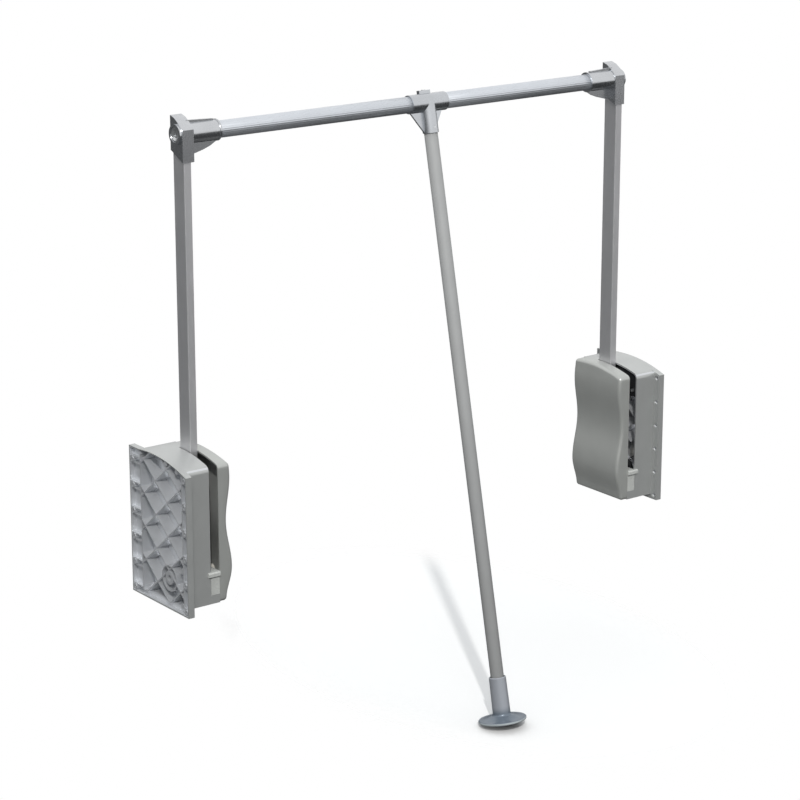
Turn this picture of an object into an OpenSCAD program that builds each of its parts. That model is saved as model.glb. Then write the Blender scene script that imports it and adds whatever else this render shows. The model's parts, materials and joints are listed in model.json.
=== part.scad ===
// Pull down closet rod: two wall housings, two swinging arms, a hanging rod and a pull handle.
// X runs across the wardrobe from the left wall, -Y is towards the user, +Z is up.
// The origin is the middle of the left housing's screw pattern, on the wall plane.

/* [Overall] */
// Distance between the two walls that carry the housings
outer_w = 1110; // [900:5:1400]
// Height of the hanging rod's axis above the middle of the screw pattern
rod_h = 706; // [550:2:850]
// Distance from the wall to the middle of the arm
arm_inset = 66.5; // [64:0.5:76]

/* [Housing flange] */
// Depth of the flange off the wall
flange_d = 12; // [10:0.5:16]
// Front edge of the flange, in front of the arm's middle
flange_front = 93; // [91:1:110]
// Rear edge of the flange, behind the arm's middle
flange_rear = 93; // [91:1:110]
// Height of the flange at its rear edge
flange_h = 273; // [268:1:300]
// How much lower the flange's top is at the front edge than at the rear
top_fall = 16; // [8:1:20]
// Rise of the curved top above its chord
top_rise = 9; // [4:0.5:14]
// Thickness of the flange's rim
rim_t = 2.8; // [2:0.1:4]
// Thickness of the flange's floor and of the web inside the body
web_t = 2.5; // [2:0.1:3]
// Depth of the web inside the body, off the wall
web_x = 24; // [20:0.5:24.5]
// Rows of fixing screws
screw_rows = 6; // [4:2:6]
// Distance from the top row of fixing screws to the flange's top at its rear edge
screw_top = 24; // [22:0.5:30]
// Distance of each column of fixing screws from the arm's middle
screw_y = 84; // [82:0.5:86]
// Radius of a fixing screw hole
screw_hole_r = 2.4; // [2:0.1:3]
// Wall of the boss that carries a fixing screw hole to the wall
screw_wall = 2.6; // [2.4:0.1:3]
// Width of the countersink round a fixing screw hole
screw_sink = 1.4; // [0.6:0.1:1.5]
// Clear height between the two ribs beside a fixing screw hole
screw_bay = 9; // [7:0.5:12]
// Depth of the groove along the fixing screws
groove_t = 1.2; // [0.5:0.1:1.4]
// Width of the groove along the fixing screws
groove_w = 8; // [6:0.2:9]
// Distance from the lowest row of fixing screws to the flange's lower edge
screw_margin = 9; // [7:0.5:14]

/* [Housing body] */
// Front face of the body, in front of the arm's middle
body_front = 77; // [74:1:79]
// Rear face of the body, behind the arm's middle
body_rear = 60; // [58:1:68]
// Height of the body's lower face above the flange's lower edge
body_lift = 10; // [6:1:16]
// Wall of the body and the cover
wall_t = 3; // [2.4:0.1:3.4]
// Radius of the corner between the front face and the curved top
brow_r = 12; // [8:1:18]
// Width of the slot that the arm swings through
slot_w = 18.4; // [17.9:0.1:20]
// Rear end of the slot, behind the arm's middle
slot_rear = 19; // [17.6:0.2:22]
// Thickness of a lattice rib
rib_t = 2.2; // [1.6:0.1:3]
// Gap between the wall and the lattice ribs
rib_set_back = 1.5; // [0.5:0.1:3]
// Height of the ribs inside the body
inner_rib_h = 6; // [3:0.5:7]
// Height of the ribs inside the body, clear of the cam and the strut
tall_rib_h = 18; // [10:0.5:19]
// Width of a lattice cell
cell_y = 75; // [60:1:90]
// Height of a lattice cell
cell_z = 62; // [50:1:75]
// A rib crossing, behind the arm's middle
lattice_y = 10; // [0:1:30]
// The same rib crossing, above the middle of the screw pattern
lattice_z = 35; // [20:1:50]

/* [Cover] */
// Reach of the cover past the arm's middle at its top bulge
cover_top = 36; // [33:0.5:40]
// Reach of the cover past the arm's middle at its waist
cover_waist = 27; // [25:0.5:30]
// Reach of the cover past the arm's middle at its lower bulge
cover_belly = 38; // [35:0.5:42]
// Reach of the cover past the arm's middle at its lower edge
cover_foot = 25; // [23:0.5:32]
// Heights of the foot, lower bulge, waist and top bulge as shares of the body's height
wave_shares = [0, 0.235, 0.56, 0.87];
// Radius of a cover screw
cover_screw_r = 2; // [1.5:0.1:2.4]
// Radius of a cover screw's head
cover_head_r = 3.8; // [3:0.1:4.4]
// Radius of the post round a cover screw
post_r = 4.8; // [4.2:0.1:6]

/* [Pivot] */
// Distance of the pivot in front of the arm's middle
pivot_y = 29; // [26:0.5:32]
// Height of the pivot above the flange's lower edge
pivot_h = 57; // [53:0.5:63]
// Radius of the pivot shaft
shaft_r = 6; // [5:0.1:6.6]
// Wall of a pivot bush
bush_t = 2; // [1.5:0.1:2.5]
// Length of a pivot bush without its flange
bush_len = 10; // [8:0.5:11]
// Thickness of a bush's flange
bush_flange_t = 1.5; // [1:0.1:2]
// Radial clearance of the shaft in its bushes
run_gap = 0.05; // [0.02:0.01:0.1]
// Wall of the boss that holds a bush
boss_wall = 4; // [3:0.5:5]
// Swing of the arm from upright to lowered, in degrees
swing = 90; // [60:1:90]
// Radius of the lever's hub
hub_r = 15; // [12:0.5:16]

/* [Arm] */
// Depth of the arm's tube, front to rear
arm_d = 33.6; // [30:0.2:35]
// Thickness of the arm's tube, side to side
arm_t = 15; // [13:0.2:15.4]
// Wall of the arm's tube
arm_wall = 1.5; // [1:0.1:2]
// Radius of the arm's corners
arm_corner_r = 1.6; // [1:0.1:2.5]
// Lower end of the arm's tube above the pivot
arm_foot = 36; // [32:1:44]
// Length of the lever's tongue inside the arm
tongue_len = 92; // [60:1:120]
// Gap between a tongue or a tube's end and its socket
seat_gap = 0.1; // [0.05:0.01:0.2]
// Radius of a lever bolt
lever_bolt_r = 2.5; // [2:0.1:3]
// Radius of a bolt's round head
bolt_head_r = 4.2; // [3.6:0.1:4.8]
// Thickness of a bolt's round head
bolt_head_t = 1; // [0.8:0.1:1.1]

/* [Lift cam and gas strut] */
// Middle of the cam and the strut off the wall
strut_x = 39; // [38.5:0.1:39.2]
// Lean of the strut to the rear, in degrees from upright
strut_lean = 20; // [16:0.5:22]
// Thickness of the cam
cam_t = 9; // [6:0.5:10]
// Distance of the shoe's nose centre from the pivot, arm upright
shoe_start = 27; // [25:0.5:29]
// Lift of the shoe over the whole swing
shoe_lift = 20; // [10:0.5:20]
// Radius of the shoe's nose
shoe_r = 8; // [6:0.5:9]
// Gap between the cam and the shoe
cam_gap = 0.3; // [0.25:0.01:0.4]
// Radius of the strut's cylinder
cylinder_r = 8; // [7:0.1:8.1]
// Wall of the strut's cylinder
cylinder_wall = 1.5; // [1:0.1:2]
// Lower end of the cylinder from the pivot
cylinder_start = 72; // [68:1:80]
// Depth of the strut's anchor below the flange's top
anchor_drop = 44; // [42:1:56]
// Radius of the strut's rod
strut_rod_r = 4; // [3:0.1:5]
// Radius of the pin that anchors the strut
anchor_r = 3.5; // [2.5:0.1:4]

/* [Arm guide and stop] */
// Thickness of the black guide beside the slot
guide_t = 6; // [4:0.5:7]
// Depth of the guide's lower edge below the flange's top
guide_drop = 58; // [48:1:64]
// Height of the stop block's front face
stop_h = 43; // [34:1:44]
// Depth of the stop block behind the front face
stop_d = 30; // [22:1:31]
// Lap of the stop block's cushion over the wall half of the front face
stop_lip = 6; // [3:0.5:9]
// Height of the stop block's cushion
stop_lip_h = 9; // [6:0.5:16]
// Reach of the stop block's cushion in front of the front face
stop_out = 4; // [2:0.5:7]
// Air between a resting piece and its seat
rest_gap = 0.3; // [0.2:0.05:0.4]

/* [Corner bracket] */
// Wall of the bracket on the wall side of the arm
bracket_out = 3; // [2:0.1:5]
// Wall of the bracket on the rod side of the arm
bracket_in = 5; // [3:0.1:7]
// Wall of the bracket in front of and behind the arm
bracket_wall = 2.2; // [1.5:0.1:4]
// Front top edge of the bracket above the rod's axis
bracket_front_top = 9; // [6:0.5:14]
// Rear top edge of the bracket above the rod's axis
bracket_rear_top = 31; // [26:0.5:36]
// Front lower edge of the bracket below the rod's axis
bracket_front_low = 47; // [40:0.5:55]
// Rear lower edge of the bracket below the rod's axis
bracket_rear_low = 29; // [27:0.5:40]
// Length of the rod socket from the bracket's face
socket_len = 58; // [40:1:80]
// Wall of the rod socket
socket_wall = 2.8; // [2:0.1:4]
// Height of the ring round the rod bolt on the outer face
ring_h = 4; // [2:0.5:6]
// Radius of the recess inside that ring
ring_recess_r = 13.5; // [11:0.5:14]
// Thickness of the gussets on the socket
gusset_t = 5; // [3:0.5:8]
// Radius of the rod bolt
rod_bolt_r = 4; // [3:0.1:5]

/* [Rod] */
// Radius of the rod's two outer tubes
rod_r = 15; // [12:0.5:16]
// Wall of the rod's outer tubes
rod_wall = 1.8; // [1.2:0.1:2.2]
// Wall of the joining tube inside the rod
join_wall = 1.5; // [1:0.1:2]
// Length of the joining tube inside the left tube
join_left = 240; // [200:1:300]
// Length of the joining tube inside the right tube
join_right = 120; // [80:1:160]
// Middle of the handle's collar, to the right of the rod's middle
collar_shift = 35; // [0:1:60]

/* [Pull handle] */
// Length of the collar on the rod
collar_len = 81; // [60:1:100]
// Wall of the collar
collar_wall = 2; // [1.8:0.1:4]
// Length of the right tube inside the collar
collar_grip = 20; // [14:1:26]
// Forward lean of the handle, in degrees
handle_lean = 11.8; // [0:0.1:20]
// Distance of the handle's axis in front of the rod's axis, square to the handle
handle_offset = 3.5; // [0:0.5:10]
// Length from the rod's axis to the foot's lower face, along the handle
handle_len = 1152; // [900:2:1300]
// Radius of the handle's tube
handle_r = 12.5; // [10:0.5:13]
// Wall of the handle's tube
handle_wall = 1.5; // [1:0.1:2]
// Wall of the handle's socket under the collar
boss_t = 2; // [1.6:0.1:3]
// Lower end of the handle's socket below the rod's axis
boss_end = 55; // [45:1:70]
// Thickness of the fin between the collar and the socket
fin_t = 4; // [3:0.5:6]
// Length of the small lug on top of the collar
lug_len = 25; // [18:1:40]
// Height of the small lug on top of the collar
lug_h = 6; // [3:0.5:8]

/* [Foot] */
// Radius of the foot's disc
foot_r = 45; // [36:0.5:52]
// Thickness of the disc at its rim
foot_rim_t = 5; // [3:0.5:7]
// Rise of the disc's top from its rim to the sleeve
foot_dome = 8; // [4:0.5:12]
// Radius of the sleeve that holds the handle's tube
sleeve_r = 16; // [14.5:0.1:18]
// Height of the sleeve above the foot's lower face
sleeve_h = 84; // [60:1:100]
// Radius of the rubber pad under the disc
pad_r = 38; // [30:0.5:40]
// Thickness of the rubber pad
pad_t = 3; // [2:0.1:4]

/* [Hidden] */
$fn = 64;
// Overrun of every cut past the face that it goes through
over = 1;
// Air between two pieces of one body that lie face to face
lie_gap = 0.1;
// Steps of a curve that a formula draws
curve_steps = 10;

// Heights that follow the screw pattern
pattern_h = flange_h - screw_margin - screw_top;
row_pitch = pattern_h / (screw_rows - 1);
flange_low = -pattern_h / 2 - screw_margin;
rear_top = flange_low + flange_h;
front_top = rear_top - top_fall;
body_low = flange_low + body_lift;
guide_z = rear_top - guide_drop;

// Circle of the curved top through the rear of the body and the flange's front edge
chord = norm([flange_front + body_rear, top_fall]);
top_r = (chord * chord / 4 + top_rise * top_rise) / (2 * top_rise);
top_drop = top_r - top_rise;
top_mid = [(body_rear - flange_front) / 2, (rear_top + front_top) / 2];
top_c = top_mid + top_drop * [top_fall, -(flange_front + body_rear)] / chord;
function top_at(y, inset = 0) = top_c[1] + sqrt(pow(top_r - inset, 2) - pow(y - top_c[0], 2));

// The slot and the seam between the housing and its cover
slot_x = arm_inset - slot_w / 2;
seam_x = arm_inset + slot_w / 2;
mid_x = outer_w / 2;

// Pivot, lever and bushes
pivot = [-pivot_y, flange_low + pivot_h];
bush_r = shaft_r + run_gap + bush_t;
bush_flange_r = bush_r + bush_t;
wall_boss_x = web_x + web_t + inner_rib_h;
wall_bush_x = wall_boss_x - bush_len;
shaft_x = wall_bush_x + lie_gap;
boss_r = bush_r + boss_wall;
cover_boss_x = seam_x + wall_t * 2;
shaft_end = cover_boss_x + bush_len - lie_gap;
lever_t = arm_t - 2 * arm_wall - 2 * seat_gap;
lever_tongue_d = arm_d - 2 * arm_wall - 2 * seat_gap;
lever_x = slot_x - guide_t;
lever_end = cover_boss_x - bush_flange_t - lie_gap;
cam_hub_x = wall_boss_x + bush_flange_t + lie_gap;
arm_low = pivot[1] + arm_foot;
arm_high = rod_h - rod_r - bracket_wall - seat_gap;

// Strut places along its own axis, from the pivot
cam_hub_r = shaft_r + boss_wall;
anchor_s = (rear_top - anchor_drop - pivot[1]) / cos(strut_lean);
cylinder_end = anchor_s - anchor_r * 2;
cylinder_len = cylinder_end - cylinder_start;
rod_top_s = cylinder_start + shoe_lift + cylinder_wall * 4;
saddle_t = wall_t * 3;
clamp_s = cylinder_start + cylinder_len / 5;
clamp_reach = cylinder_r + saddle_t / 2 + lie_gap;
guide_x = slot_x - guide_t - bolt_head_t - wall_t;

// Stop block
stop_top = pivot[1] + pivot_y - arm_d / 2 - rest_gap;
stop_low = stop_top - stop_h;

// Bracket and rod
bracket_x = arm_inset - arm_t / 2 - bracket_out;
bracket_w = bracket_out + arm_t + bracket_in;
bracket_face = bracket_x + bracket_w;
bracket_half = arm_d / 2 + bracket_wall;
socket_r = rod_r + run_gap + socket_wall;
rod_start = arm_inset - arm_t / 2;
collar_x = mid_x + collar_shift - collar_len / 2;
left_rod_end = collar_x + collar_len - collar_grip - lie_gap;
right_rod_start = collar_x + collar_len - collar_grip;
collar_r = rod_r + run_gap + collar_wall;
join_r = rod_r - rod_wall - run_gap;
boss_out_r = handle_r + seat_gap + boss_t;
handle_top = rod_r + collar_wall + wall_t;
foot_bore_s = foot_dome + foot_rim_t + sleeve_r / 2;

// Placing helpers
module on_left() { children(); }
module on_right() { translate([outer_w, 0, 0]) mirror([1, 0, 0]) children(); }
module along_x(x, len) { translate([x, 0, 0]) rotate([90, 0, 90]) linear_extrude(len) children(); }
module along_y(y, len) { translate([0, y + len, 0]) rotate([90, 0, 0]) linear_extrude(len) children(); }
module rod_x(x, len, r, at = [0, 0]) {
    translate([x, at[0], at[1]]) rotate([0, 90, 0]) cylinder(h = len, r = r);
}
module tube_x(x, len, r_out, r_in, at = [0, 0]) {
    difference() {
        rod_x(x, len, r_out, at);
        rod_x(x - over, len + 2 * over, r_in, at);
    }
}
module block(low, high) { translate(low) cube(high - low); }

// Outline of the flange in the plane of the wall, drawn in by inset
module flange_2d(inset = 0) {
    translate([body_rear - 2 * inset, flange_low + inset])
        square([flange_rear - body_rear + inset, flange_h - 2 * inset]);
    intersection() {
        translate([-flange_front + inset, flange_low + inset])
            square([flange_front + body_rear - inset, flange_h + top_r]);
        translate(top_c) circle(r = top_r - inset, $fn = 360);
    }
}

// Outline of the body and the cover, seen from the side, drawn in by inset
module body_2d(inset = 0) {
    y0 = -body_front + inset;
    r = brow_r - inset;
    c = [y0 + r, top_at(y0 + r, inset + r)];
    reach = c - top_c;
    edge = c + reach / norm(reach) * (r + wall_t);
    difference() {
        intersection() {
            translate([y0, body_low + inset])
                square([body_front + body_rear - 2 * inset, flange_h + top_r]);
            translate(top_c) circle(r = top_r - inset, $fn = 360);
        }
        polygon([c, [y0 - over, c[1]], [y0 - over, edge[1] + brow_r], edge]);
    }
    translate(c) circle(r = r);
}

// Crossing ribs of the lattice
module lattice_2d() {
    lean = atan(cell_z / cell_y);
    for (row = [-4 : 4], side = [-1, 1])
        translate([lattice_y, lattice_z + row * cell_z])
            rotate(side * lean) square([flange_h + flange_rear, rib_t], center = true);
}

// Room that the cam, the strut and its clamp take between the tall ribs
module strut_room_2d() {
    half = cylinder_r + rest_gap;
    reach = clamp_reach + saddle_t / 2 + rest_gap;
    translate(pivot) {
        circle(r = shoe_start + shoe_lift + 2 * shoe_r);
        rotate(-strut_lean) {
            translate([-half, 0]) square([2 * half, anchor_s + half]);
            translate([-reach, clamp_s - saddle_t / 2 - rest_gap])
                square([2 * reach, saddle_t + 2 * rest_gap]);
        }
    }
}

function screw_z(row) = row * row_pitch - pattern_h / 2;
post_y = body_rear - wall_t / 2 - post_r;
post_z = body_low + wall_t / 2 + post_r;
cover_posts = [
    [post_y, top_at(post_y) - wall_t - 2 * post_r], [post_y, pivot[1] + cell_z], [post_y, post_z],
    [pivot[0] + cell_y / 2, post_z]
];
guide_bolts = [
    [-body_front / 2, guide_z + guide_t * 4],
    [-body_front + brow_r + bolt_head_r, guide_z + guide_t * 2]
];
rim_bosses = [
    [-body_front + wall_t / 2 + post_r, pivot[1] + cell_z * 0.4],
    [-body_front + wall_t / 2 + post_r, post_z],
    [-body_front + brow_r + post_r, top_at(-body_front + brow_r + post_r) - wall_t / 2 - post_r],
    [-body_front / 3, top_at(-body_front / 3) - wall_t / 2 - post_r]
];
strut_dir = [sin(strut_lean), cos(strut_lean)];
function strut_at(s) = pivot + s * strut_dir;

// Places children with their own Z along the strut, from the pivot
module on_strut(s = 0) {
    translate([strut_x, strut_at(s)[0], strut_at(s)[1]]) rotate([-strut_lean, 0, 0]) children();
}

module slot_cut() {
    block([slot_x, -body_front - over, stop_low], [seam_x + over, slot_rear, rear_top + top_r]);
}

module side_wall_housing() {
    bay = (screw_bay + rib_t) / 2;
    color("#84867f") difference() {
        union() {
            difference() {
                along_x(0, flange_d) flange_2d();
                along_x(-over, flange_d - web_t + over) flange_2d(rim_t);
                along_x(-over, flange_d + 2 * over) body_2d(wall_t / 2);
            }
            for (row = [0 : screw_rows - 1], side = [-1, 1])
                along_x(rib_set_back, flange_d - web_t / 2 - rib_set_back) intersection() {
                    translate([side > 0 ? body_rear - rib_t / 2 : -flange_front + rim_t / 2, screw_z(row) - bay])
                        difference() {
                            w = side > 0 ? flange_rear - body_rear - rim_t / 2 + rib_t / 2
                                : flange_front - body_front - rim_t / 2 + rib_t / 2;
                            translate([0, -rib_t / 2]) square([w, 2 * bay + rib_t]);
                            translate([-over, rib_t / 2]) square([w + 2 * over, screw_bay]);
                        }
                    flange_2d(rim_t / 2);
                }
            for (row = [0 : screw_rows - 1], side = [-1, 1])
                rod_x(0, flange_d - web_t / 2, screw_hole_r + screw_wall, [side * screw_y, screw_z(row)]);
            difference() {
                along_x(rib_set_back, seam_x - rib_set_back) body_2d();
                along_x(0, web_x) body_2d(rib_t);
                along_x(web_x + web_t, seam_x) body_2d(wall_t);
                block([0, -body_front - over, body_low - over],
                      [flange_d - web_t, body_rear - rib_t, body_low + wall_t]);
            }
            along_x(rib_set_back, web_x + web_t / 2 - rib_set_back) intersection() {
                union() {
                    lattice_2d();
                    for (p = rim_bosses) translate(p) circle(r = post_r);
                    translate(pivot) difference() {
                        circle(r = boss_r * 2);
                        circle(r = boss_r * 2 - rib_t);
                    }
                }
                body_2d(rib_t / 2);
            }
            along_x(web_x + web_t / 2, inner_rib_h + web_t / 2) intersection() {
                lattice_2d();
                body_2d(wall_t / 2);
            }
            along_x(web_x + web_t / 2, tall_rib_h + web_t / 2) difference() {
                intersection() {
                    lattice_2d();
                    body_2d(wall_t / 2);
                }
                strut_room_2d();
            }
            for (p = cover_posts) rod_x(web_x - post_r, seam_x - web_x + post_r, post_r, p);
            for (p = guide_bolts) rod_x(web_x + web_t / 2, guide_x - lie_gap - web_x - web_t / 2, post_r, p);
            rod_x(rib_set_back, wall_boss_x - rib_set_back, boss_r, pivot);
            rod_x(web_x + web_t / 2, strut_x - anchor_r - lie_gap - web_x - web_t / 2, post_r + anchor_r,
                  strut_at(anchor_s));
            for (side = [-1, 1]) on_strut(clamp_s)
                translate([web_x + web_t / 2 - strut_x, side * clamp_reach - saddle_t / 2, -saddle_t / 2])
                    cube([strut_x - web_x - web_t / 2 - lie_gap, saddle_t, saddle_t]);
        }
        for (row = [0 : screw_rows - 1], side = [-1, 1]) {
            rod_x(-over, flange_d + 2 * over, screw_hole_r, [side * screw_y, screw_z(row)]);
            translate([flange_d - groove_t - screw_sink, side * screw_y, screw_z(row)]) rotate([0, 90, 0])
                cylinder(h = 2 * screw_sink, r1 = screw_hole_r, r2 = screw_hole_r + 2 * screw_sink);
        }
        for (side = [-1, 1])
            block([flange_d - groove_t, side * screw_y - groove_w / 2, screw_z(0) - screw_bay / 2],
                  [flange_d + over, side * screw_y + groove_w / 2, screw_z(screw_rows - 1) + screw_bay / 2]);
        for (p = cover_posts) {
            rod_x(web_x - 2 * post_r, seam_x, cover_screw_r + seat_gap, p);
            rod_x(0, web_x, cover_head_r + seat_gap, p);
        }
        for (p = guide_bolts) rod_x(web_x + web_t, slot_x, lever_bolt_r + lie_gap, p);
        rod_x(wall_bush_x, bush_len + over, bush_r + seat_gap / 2, pivot);
        rod_x(0, wall_bush_x - wall_t, shaft_r, pivot);
        rod_x(web_x + web_t, strut_x, anchor_r + lie_gap, strut_at(anchor_s));
        for (side = [-1, 1]) on_strut(clamp_s)
            translate([web_x + web_t - strut_x, side * clamp_reach, 0])
                rotate([0, 90, 0]) cylinder(h = strut_x, r = cover_screw_r + lie_gap);
        on_strut(cylinder_start - over)
            cylinder(h = cylinder_len + anchor_r + over, r = cylinder_r + rest_gap);
        slot_cut();
    }
}

// Reach of the cover past the arm's middle at a share of the body's height
reaches = [cover_foot, cover_belly, cover_waist, cover_top];
function blend(a, b, t) = a + (b - a) * (1 - cos(180 * t)) / 2;
body_h = rear_top - body_low;
wave = [
    for (i = [0 : 2], k = [0 : curve_steps - 1])
        let (t = k / curve_steps,
             share = wave_shares[i] + (wave_shares[i + 1] - wave_shares[i]) * t)
        [arm_inset + blend(reaches[i], reaches[i + 1], t), body_low + share * body_h],
    [arm_inset + cover_top, body_low + wave_shares[3] * body_h],
    [arm_inset + cover_top - wall_t, rear_top + top_rise]
];

// Space under the cover's waved face, drawn in by inset
module wave_solid(inset = 0) {
    along_y(-body_front - over, body_front + body_rear + 2 * over)
        polygon(concat(
            [[seam_x - over, body_low - over], [wave[0][0] - inset, body_low - over]],
            [for (p = wave) p - [inset, 0]],
            [[seam_x - over, rear_top + top_rise]]
        ));
}

module side_cover() {
    color("#8d8f88") difference() {
        union() {
            difference() {
                intersection() {
                    along_x(seam_x, cover_belly) body_2d();
                    wave_solid();
                }
                intersection() {
                    along_x(seam_x - over, cover_belly) body_2d(wall_t);
                    wave_solid(wall_t);
                }
            }
            intersection() {
                union() {
                    rod_x(cover_boss_x, cover_belly, boss_r, pivot);
                    for (p = cover_posts) rod_x(seam_x + lie_gap, cover_belly, post_r, p);
                }
                wave_solid(wall_t / 2);
            }
        }
        rod_x(cover_boss_x - over, bush_len + over, bush_r + seat_gap / 2, pivot);
        for (p = cover_posts) rod_x(seam_x - over, wall_t * 3 + over, cover_screw_r + seat_gap, p);
    }
}

module side_cover_screws() {
    color("#b9bbbd") for (p = cover_posts) {
        rod_x(web_x, seam_x - web_x + wall_t * 2, cover_screw_r, p);
        difference() {
            rod_x(web_x - wall_t, wall_t, cover_head_r, p);
            rod_x(web_x - wall_t - over, wall_t / 2 + over, cover_screw_r / 2, p);
        }
    }
}

module side_pivot_bushes() {
    color("#d9d6cc") {
        tube_x(wall_bush_x, bush_len, bush_r, shaft_r + run_gap, pivot);
        tube_x(wall_boss_x, bush_flange_t, bush_flange_r, shaft_r + run_gap, pivot);
        tube_x(cover_boss_x, bush_len, bush_r, shaft_r + run_gap, pivot);
        tube_x(cover_boss_x - bush_flange_t, bush_flange_t, bush_flange_r, shaft_r + run_gap, pivot);
    }
}

module side_pivot_shaft() {
    color("#c3c6c9") rod_x(shaft_x, shaft_end - shaft_x, shaft_r, pivot);
}

// The lever carries the arm's tube on its tongue and turns on the shaft
module side_lever() {
    x = arm_inset - lever_t / 2;
    shoulder = arm_d / 2 - arm_corner_r;
    color("#232426") difference() {
        union() {
            rod_x(lever_x, lever_end - lever_x, hub_r, pivot);
            along_x(x, lever_t) polygon([
                [-shoulder, arm_low - lie_gap], [shoulder, arm_low - lie_gap],
                [shoulder, arm_low - hub_r / 2], [pivot[0] + hub_r / 2, pivot[1] - hub_r * 0.85],
                pivot, [pivot[0], pivot[1] + hub_r * 0.95], [-shoulder, pivot[1] + hub_r * 0.95]
            ]);
            along_x(x, lever_t) translate([-lever_tongue_d / 2, arm_low - hub_r])
                square([lever_tongue_d, tongue_len + hub_r]);
        }
        rod_x(lever_x - over, lever_end - lever_x + 2 * over, shaft_r + lie_gap / 2, pivot);
        for (s = lever_bolt_shares)
            rod_x(x - over, lever_t + 2 * over, lever_bolt_r + lie_gap, [0, arm_low + s * tongue_len]);
    }
}
// Places of the lever bolts as shares of the tongue's length
lever_bolt_shares = [0.22, 0.84];

module side_lever_bolts() {
    color("#2b2c2e") for (s = lever_bolt_shares) {
        at = [0, arm_low + s * tongue_len];
        rod_x(arm_inset - arm_t / 2, arm_t, lever_bolt_r, at);
        for (x = [arm_inset - arm_t / 2 - bolt_head_t, arm_inset + arm_t / 2])
            rod_x(x, bolt_head_t, bolt_head_r, at);
    }
}

// Rectangle with round corners, centred
module round_box_2d(w, d, r) {
    square([w - 2 * r, d], center = true);
    square([w, d - 2 * r], center = true);
    for (x = [-1, 1], y = [-1, 1]) translate([x * (w / 2 - r), y * (d / 2 - r)]) circle(r = r);
}

module side_arm_tube() {
    color("#9a9b9c") difference() {
        translate([arm_inset, 0, arm_low]) linear_extrude(arm_high - arm_low) difference() {
            round_box_2d(arm_t, arm_d, arm_corner_r);
            square([arm_t - 2 * arm_wall, arm_d - 2 * arm_wall], center = true);
        }
        for (s = lever_bolt_shares)
            rod_x(arm_inset - arm_t, 2 * arm_t, lever_bolt_r + lie_gap, [0, arm_low + s * tongue_len]);
        translate([arm_inset, arm_d / 4, bracket_screw_z]) rotate([-90, 0, 0])
            cylinder(h = arm_d, r = cover_screw_r + lie_gap);
    }
}

// Cam whose rise is even over the swing, so the shoe moves in step with the arm
cam_rise = shoe_lift / swing;
function cam_pitch(a) = shoe_start + cam_rise * a;
function cam_dir(a) = [cos(90 + a), sin(90 + a)];
function cam_edge(a) =
    let (r = cam_pitch(a), slope = cam_rise * 180 / PI, u = cam_dir(-strut_lean - a),
         t = [u[1], -u[0]], n = (r * u - slope * t) / norm([r, slope]))
    r * u - (shoe_r + cam_gap) * n;

module side_lift_cam() {
    color("#2e2f31") difference() {
        union() {
            along_x(strut_x - cam_t / 2, cam_t) translate(pivot) {
                circle(r = shoe_start - shoe_r - cam_gap);
                polygon(concat([[0, 0]], [for (k = [-2 : 48]) cam_edge(k * swing / 46)]));
            }
            rod_x(cam_hub_x, lever_x - lie_gap - cam_hub_x, cam_hub_r, pivot);
        }
        rod_x(0, seam_x, shaft_r + lie_gap / 2, pivot);
    }
}

module side_strut_cylinder() {
    color("#1f2022") difference() {
        union() {
            on_strut(cylinder_start) cylinder(h = cylinder_len, r = cylinder_r);
            on_strut(cylinder_end - over) translate([-anchor_r, -anchor_r, 0])
                cube([2 * anchor_r, 2 * anchor_r, anchor_r + over]);
            rod_x(strut_x - anchor_r, 2 * anchor_r, anchor_r + wall_t, strut_at(anchor_s));
        }
        on_strut(cylinder_start + 2 * cylinder_wall)
            cylinder(h = cylinder_len - 4 * cylinder_wall, r = cylinder_r - cylinder_wall);
        on_strut(cylinder_start - over) cylinder(h = 4 * cylinder_wall, r = strut_rod_r + run_gap);
        rod_x(0, seam_x, anchor_r + lie_gap, strut_at(anchor_s));
    }
}

module side_strut_rod() {
    color("#c9ccd0") on_strut(shoe_start + shoe_r + lie_gap)
        cylinder(h = rod_top_s - shoe_start - shoe_r - lie_gap, r = strut_rod_r);
    color("#c9ccd0") on_strut(rod_top_s - cylinder_wall)
        cylinder(h = cylinder_wall * 2, r = cylinder_r - cylinder_wall - rest_gap);
}

module side_strut_shoe() {
    color("#e4e2da") {
        rod_x(strut_x - cam_t / 2, cam_t, shoe_r, strut_at(shoe_start));
        on_strut(shoe_start) translate([-cam_t / 2, -shoe_r, 0]) cube([cam_t, 2 * shoe_r, shoe_r]);
    }
}

module side_strut_anchor() {
    color("#b9bbbd") {
        rod_x(web_x + web_t, strut_x + anchor_r + lie_gap - web_x - web_t, anchor_r, strut_at(anchor_s));
        rod_x(strut_x + anchor_r + lie_gap, wall_t, anchor_r + wall_t, strut_at(anchor_s));
    }
}

// Black saddle over the cylinder, with its two screws
module side_strut_clamp() {
    color("#26272a") difference() {
        on_strut(clamp_s) union() {
            intersection() {
                translate([0, 0, -saddle_t / 2]) cylinder(h = saddle_t, r = cylinder_r + lie_gap + wall_t);
                translate([0, -cylinder_r * 2, -saddle_t]) cube([cylinder_r * 2, cylinder_r * 4, saddle_t * 2]);
            }
            for (side = [-1, 1])
                translate([0, side * clamp_reach - saddle_t / 2, -saddle_t / 2])
                    cube([wall_t, saddle_t, saddle_t]);
            for (side = [-1, 1]) translate([wall_t, side * clamp_reach, 0])
                rotate([0, 90, 0]) cylinder(h = cover_screw_r, r = cover_head_r);
            for (side = [-1, 1]) translate([-saddle_t, side * clamp_reach, 0])
                rotate([0, 90, 0]) cylinder(h = saddle_t + over, r = cover_screw_r);
        }
        on_strut(cylinder_start) cylinder(h = cylinder_len, r = cylinder_r + lie_gap);
    }
}

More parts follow.
